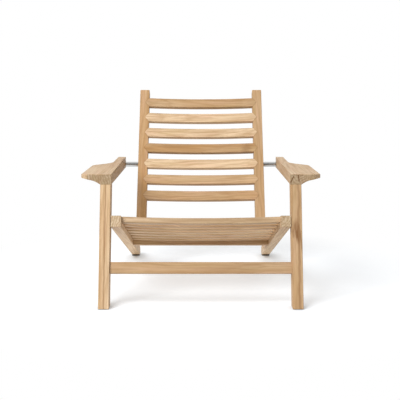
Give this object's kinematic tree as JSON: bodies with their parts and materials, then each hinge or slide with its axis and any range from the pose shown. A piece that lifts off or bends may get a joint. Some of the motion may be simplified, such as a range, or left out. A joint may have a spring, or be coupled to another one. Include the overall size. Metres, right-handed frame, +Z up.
{
  "type": "folding deck chair",
  "caption": "Low folding deck chair in teak: hollowed seat and back slats, wide armrests on leaning legs, and a steel rod that props the back.",
  "frame": {"origin": "on the floor under the middle of the chair's bounding box", "axes": "+X to the right of someone who faces the chair, +Y from the front legs to the back, +Z up"},
  "size_m": [0.7834, 0.9305, 0.6889],
  "materials": {
    "teak": "sanded and lightly oiled, matt",
    "steel": "satin stainless",
    "rubber": "matt black",
    "nylon": "matt"
  },
  "bodies": {
    "seat_frame": {"front_pivot_bolts": "steel", "front_pivot_inserts": "steel", "front_pivot_washers": "nylon", "rear_foot_pad_left": "rubber", "rear_foot_pad_right": "rubber", "seat_cross_rail": "teak", "seat_rail_left": "teak", "seat_rail_right": "teak", "seat_slat_1": "teak", "seat_slat_2": "teak", "seat_slat_3": "teak", "seat_slat_4": "teak", "seat_slat_5": "teak", "seat_slat_6": "teak", "seat_slat_7": "teak"},
    "front_frame": {"arm_dowels": "teak", "armrest_left": "teak", "armrest_right": "teak", "back_rod": "steel", "front_glide_left": "nylon", "front_glide_right": "nylon", "front_leg_left": "teak", "front_leg_right": "teak", "front_stretcher": "teak", "rod_pins": "steel"},
    "back_frame": {"back_pivot_bolts": "steel", "back_pivot_inserts": "steel", "back_pivot_spacers": "nylon", "back_slat_1": "teak", "back_slat_2": "teak", "back_slat_3": "teak", "back_slat_4": "teak", "back_slat_5": "teak", "back_slat_6": "teak", "back_slat_7": "teak", "back_slat_screws": "steel", "back_stile_left": "teak", "back_stile_right": "teak"}
  },
  "joints": [
    {"name": "back_fold", "type": "hinge", "parent": "seat_frame", "child": "back_frame", "pos_m": [0, 0.12313, 0.10085], "axis": [1, 0, 0], "range_deg": [0, 74]},
    {"name": "arm_drop", "type": "hinge", "parent": "seat_frame", "child": "front_frame", "pos_m": [0, -0.36868, 0.2635], "axis": [1, 0, 0], "range_deg": [-25, 0]}
  ],
  "couplings": [
    {"joint": "arm_drop", "follows": "back_fold", "ratio": -0.33}
  ]
}
